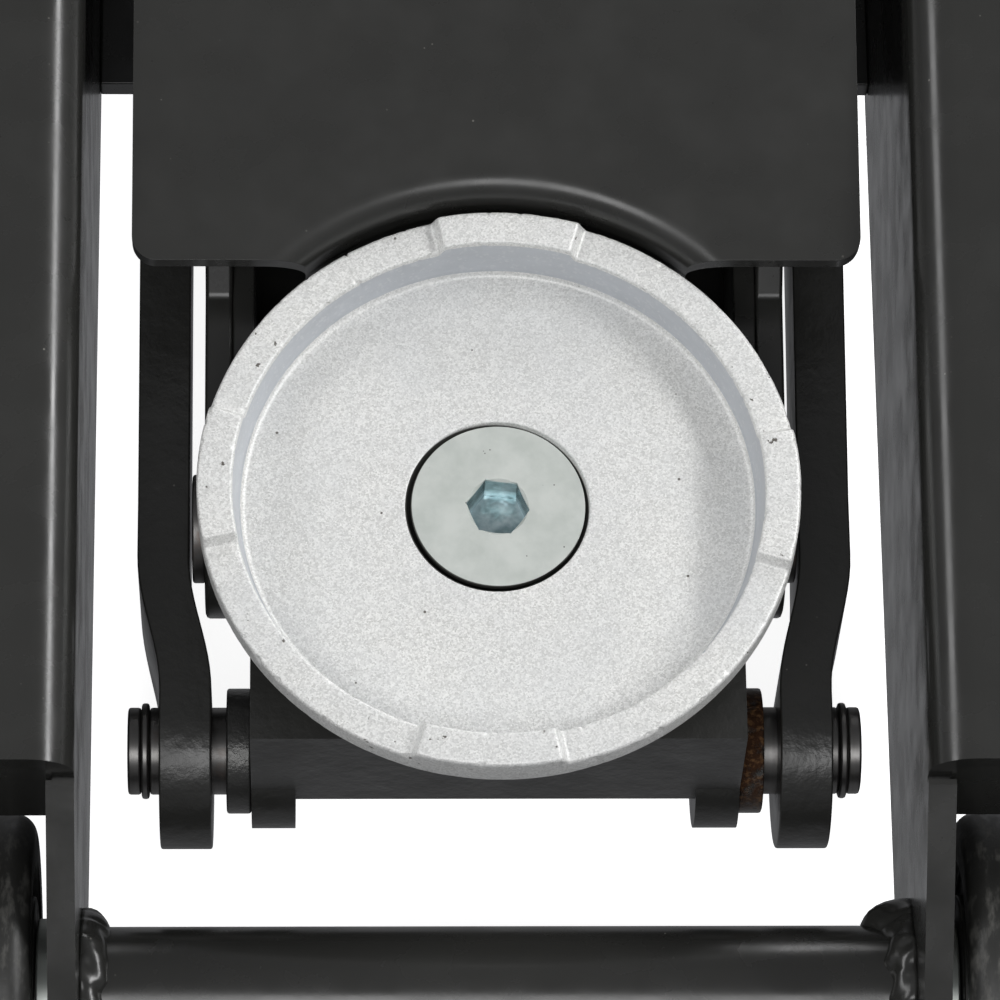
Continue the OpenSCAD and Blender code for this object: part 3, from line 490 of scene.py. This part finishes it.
def make_saddle():
    """The cup as one revolved casting, with lugs, a drafted wall and slightly uneven edges."""
    steps = 900
    plain_r, inner_edge_r, crest_r, outer_edge_r = 44, 48.3, 51, 53
    chip_depth, chip_share = 0.32, 0.7
    profile = saddle_profile()
    rows = len(profile)
    centre = SADDLE_AXIS.xy.to_3d()
    vertices = []
    for i in range(steps):
        degrees = 360 * i / steps
        a = math.radians(degrees)
        lug = lug_height(degrees)
        for r, z, share, _ in profile:
            height = z + share * lug * LUG_H / MM
            where = Vector((r * math.cos(a), r * math.sin(a), height))
            radius = r
            if r > plain_r:
                uneven = 0.10 * noise.noise(where * 0.12) + 0.05 * noise.noise(where * 0.9)
                chip = 0
                if share > chip_share:
                    chip = smoothstep(0.35, 0.6, noise.noise(where * 0.75 + Vector((7, 3, 1))))
                edge = 1.0 if r > outer_edge_r or r < inner_edge_r else 0.25
                drop = max(-uneven, 0) + chip_depth * chip * edge
                radius -= drop * (1 if r > crest_r else -0.8)
                height -= drop * 0.7 if z > -2 else 0
            across = Vector((radius * math.cos(a) * MM, radius * math.sin(a) * MM, 0))
            vertices.append(centre + across + Vector((0, 0, RIM_Z + height * MM)))
    faces, on_wall = [], []
    for i in range(steps):
        j = (i + 1) % steps
        for k in range(rows):
            m = (k + 1) % rows
            faces.append((i * rows + k, j * rows + k, j * rows + m, i * rows + m))
            on_wall.append(profile[k][3])
    saddle = mesh_object("saddle_cup", vertices, faces, "saddle_casting")
    # The wall rows take the second material, with its painted shade and reflection.
    saddle.data.materials.append(shaded_cast_wall())
    saddle.data.polygons.foreach_set("material_index", on_wall)
    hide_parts("saddle")
    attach(saddle, "saddle")


# ---- Weld beads ----

def make_weld_beads():
    """Rippled fillet welds between the cross tube and the plates, with a swollen lump on the right."""
    tube_low, tube_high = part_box("front_cross_tube")
    tube_r = (tube_high.z - tube_low.z) / 2
    root_r = tube_r - 1.5 * MM
    plate_x = tube_high.x - 0.02 * MM
    ripples, ripple_depth = 23, 0.09 * MM
    swell_at, swell_width = 0.45, 0.3
    middle = (tube_low + tube_high) / 2
    sections, steps = 9, 220
    for side, sign in (("left", -1), ("right", 1)):
        vertices, faces = [], []
        for i in range(steps):
            a = 2 * math.pi * i / steps
            spot = Vector((math.cos(a) * 2.1, math.sin(a) * 2.1, sign * 3.0))
            ripple = ripple_depth * math.sin(a * ripples + 3 * noise.noise(spot * 2))
            tall = (3.9 + 1.6 * noise.noise(spot)) * MM + ripple
            wide = (4.8 + 2.0 * noise.noise(spot + Vector((5, 0, 0)))) * MM + ripple
            if sign > 0:
                swell = math.exp(-((a - swell_at) / swell_width) ** 2)
                tall += 1.3 * MM * swell
                wide += 3.6 * MM * swell
            for k in range(sections):
                t = math.radians(100 * k / (sections - 1) - 5)
                lump = 1 + 0.14 * noise.noise(spot * 1.7 + Vector((k * 0.25, 0, 0)))
                out = tube_r - 0.4 * MM + tall * math.cos(t) * lump
                x = sign * (plate_x - wide * max(math.sin(t), 0) * lump)
                vertices.append(Vector((x, middle.y + out * math.cos(a), middle.z + out * math.sin(a))))
            root = Vector((0, root_r * math.cos(a), root_r * math.sin(a)))
            vertices.append(Vector((sign * plate_x, middle.y, middle.z)) + root)
        rows = sections + 1
        for i in range(steps):
            j = (i + 1) % steps
            for k in range(rows):
                m = (k + 1) % rows
                quad = (i * rows + k, j * rows + k, j * rows + m, i * rows + m)
                faces.append(quad if sign < 0 else quad[::-1])
        bead = mesh_object(f"weld_bead_{side}", vertices, faces, "chassis_paint")
        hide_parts("tube_weld_beads")
        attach(bead, "frame")


# ---- Springs ----

def coil_points(radius, pitch_starts, per_turn=24):
    """Helix points about +Z, from a list of (z, turns) stretches starting at z=0."""
    points, angle, z = [], 0.0, 0.0
    for height, turns in pitch_starts:
        count = max(int(abs(turns) * per_turn), 2)
        for _ in range(count):
            points.append(Vector((radius * math.cos(angle), radius * math.sin(angle), z)))
            angle += 2 * math.pi * turns / count
            z += height / count
    points.append(Vector((radius * math.cos(angle), radius * math.sin(angle), z)))
    return points


def wire_mesh(name, points, wire_r, slot, sides=10):
    """A closed tube of round wire along points."""
    count = len(points)
    tangents = [(points[min(i + 1, count - 1)] - points[max(i - 1, 0)]).normalized()
                for i in range(count)]
    normal = tangents[0].orthogonal().normalized()
    vertices, faces = [], []
    for i, (point, tangent) in enumerate(zip(points, tangents)):
        normal = (normal - tangent * normal.dot(tangent)).normalized()
        side = tangent.cross(normal)
        for k in range(sides):
            a = 2 * math.pi * k / sides
            vertices.append(point + (normal * math.cos(a) + side * math.sin(a)) * wire_r)
    for i in range(count - 1):
        for k in range(sides):
            m = (k + 1) % sides
            faces.append((i * sides + k, i * sides + m, (i + 1) * sides + m, (i + 1) * sides + k))
    faces.append(tuple(range(sides))[::-1])
    faces.append(tuple((count - 1) * sides + k for k in range(sides)))
    return mesh_object(name, vertices, faces, slot)


def make_return_springs():
    """Two extension springs with hooked ends, from the crosshead's bar to the anchor rod."""
    low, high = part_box("return_springs")
    anchor_low, anchor_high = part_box("spring_anchor_rod")
    head_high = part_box("ram_crosshead")[1]
    coil_r, wire_r, hook = 5.2 * MM, 1.2 * MM, 5.4 * MM
    z = (low.z + high.z) / 2
    x = high.x - (high.z - low.z) / 2
    anchor_y = (anchor_low.y + anchor_high.y) / 2
    bar_y = head_high.y - 14 * MM
    hook_room = 12 * MM
    body_len = anchor_y - bar_y - 2 * hook_room
    turns = 34
    for side, sign in (("left", -1), ("right", 1)):
        body = [Vector((p.x, p.z, p.y)) for p in coil_points(coil_r, [(body_len, turns)], 20)]
        start = Vector((sign * x, bar_y + hook_room, z))
        path = hook_loop(start, -1, hook, coil_r, bar_y)[::-1] + [start + p for p in body]
        path += hook_loop(start + Vector((0, body_len, 0)), 1, hook, coil_r, anchor_y)
        spring = wire_mesh(f"return_spring_{side}", path, wire_r, "spring_steel")
        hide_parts("return_springs")
        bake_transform(spring)


def hook_loop(start, way, radius, coil_r, rod_y):
    """The half-open hook at a spring's end, round a rod that runs along X."""
    points = []
    for i in range(1, 5):
        a = 0.3 * i
        rise = way * 2.5 * MM * (1 - math.cos(a)) / 2
        points.append(start + Vector((coil_r * math.cos(a), rise, coil_r * math.sin(a))))
    centre = Vector((start.x, rod_y, start.z))
    for i in range(15):
        a = math.radians(150 - 20 * i)
        points.append(centre + Vector((0, -way * radius * math.cos(a), radius * math.sin(a))))
    return points


def make_plunger_springs():
    low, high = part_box("plunger_springs")
    wire_r = 1.1 * MM
    radius = 9.0 * MM
    height = high.z - low.z - 2 * wire_r
    for side, sign in (("left", -1), ("right", 1)):
        centre = Vector((sign * (high.x - 10 * MM), (low.y + high.y) / 2, low.z + wire_r))
        closed = 2.3 * MM
        path = coil_points(radius, [(closed, 1), (height - 2 * closed, 4), (closed, 1)])
        spring = wire_mesh(f"plunger_spring_{side}", [centre + p for p in path], wire_r, "spring_steel")
        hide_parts("plunger_springs")
        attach(spring, "frame")
        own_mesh(spring)


# ---- Stage, lights and camera ----

def make_stage():
    size, floor_z = 14.0, -0.3 * MM
    corners = [(x * size, y * size, floor_z) for x, y in ((-1, -1), (1, -1), (1, 1), (-1, 1))]
    mesh = bpy.data.meshes.new("floor")
    mesh.from_pydata(corners, [], [(0, 1, 2, 3)])
    floor = bpy.data.objects.new("floor", mesh)
    bpy.context.scene.collection.objects.link(floor)
    n = Nodes("floor_paper")
    tone = n.mix(n.noise(0.5, 2), (0.90, 0.90, 0.90), (0.93, 0.93, 0.93))
    n.link(tone, n.shader.inputs["Base Color"])
    n.set(Roughness=0.9, Specular_IOR_Level=0.1, Emission_Color=(1, 1, 1, 1), Emission_Strength=0.9)
    mesh.materials.append(n.material)
    floor.visible_glossy = False
    floor.visible_diffuse = False


def area_light(name, at, target, size, power):
    data = bpy.data.lights.new(name, "AREA")
    data.shape = "RECTANGLE"
    data.size, data.size_y = size
    data.energy = power
    light = bpy.data.objects.new(name, data)
    bpy.context.scene.collection.objects.link(light)
    light.location = at
    light.rotation_euler = (Vector(target) - Vector(at)).to_track_quat("-Z", "Y").to_euler()


def make_lights():
    """Softboxes all round, in a dim room that looks white behind the object."""
    world = bpy.data.worlds.new("studio")
    bpy.context.scene.world = world
    world.use_nodes = True
    tree = world.node_tree
    room = tree.nodes["Background"]
    room.inputs["Color"].default_value = (0.96, 0.97, 1.0, 1)
    room.inputs["Strength"].default_value = 0.24
    backdrop = tree.nodes.new("ShaderNodeBackground")
    backdrop.inputs["Color"].default_value = (1, 1, 1, 1)
    mix = tree.nodes.new("ShaderNodeMixShader")
    seen = tree.nodes.new("ShaderNodeLightPath").outputs["Is Camera Ray"]
    tree.links.new(seen, mix.inputs["Fac"])
    tree.links.new(room.outputs["Background"], mix.inputs[1])
    tree.links.new(backdrop.outputs["Background"], mix.inputs[2])
    tree.links.new(mix.outputs["Shader"], tree.nodes["World Output"].inputs["Surface"])
    aim = SADDLE_AXIS
    area_light("front_softbox", aim + Vector((-0.3, -1.3, 2.1)), aim, (1.4, 1.0), 21)
    area_light("left_softbox", aim + Vector((-1.6, 0.4, 1.2)), aim, (1.8, 0.5), 11)
    area_light("right_strip", aim + Vector((1.45, 0.35, 1.15)), aim, (1.5, 0.26), 20)
    area_light("rear_softbox", aim + Vector((0.9, 2.9, 1.3)), (0, 0.4, 0.2), (1.6, 0.8), 30)


def make_camera():
    """Looks down at the saddle from the front, from a little left of the middle."""
    distance, elevation, off_x = 1.16, math.radians(66.3), -0.030
    target = Vector((0, SADDLE_AXIS.y, RIM_Z))
    place = target + Vector((off_x, -distance * math.cos(elevation), distance * math.sin(elevation)))
    aim = (target - place).normalized()
    up = aim.cross(Vector((1, 0, 0))) * -1
    up = (up - aim * up.dot(aim)).normalized()
    if up.z < 0:
        up = -up
    right = aim.cross(up).normalized()
    data = bpy.data.cameras.new("camera")
    data.sensor_width = 36.0
    data.lens = 233.93
    data.shift_x = 0.001
    data.shift_y = -0.012
    data.clip_start = 0.01
    camera = bpy.data.objects.new("camera", data)
    bpy.context.scene.collection.objects.link(camera)
    camera.matrix_world = Matrix.Translation(place) @ Matrix((right, up, -aim)).transposed().to_4x4()
    bpy.context.scene.camera = camera


make_camera()
dress_cad_nodes()
make_saddle()
make_weld_beads()
make_return_springs()
make_plunger_springs()
make_stage()
make_lights()
bpy.context.scene.view_settings.view_transform = "Standard"
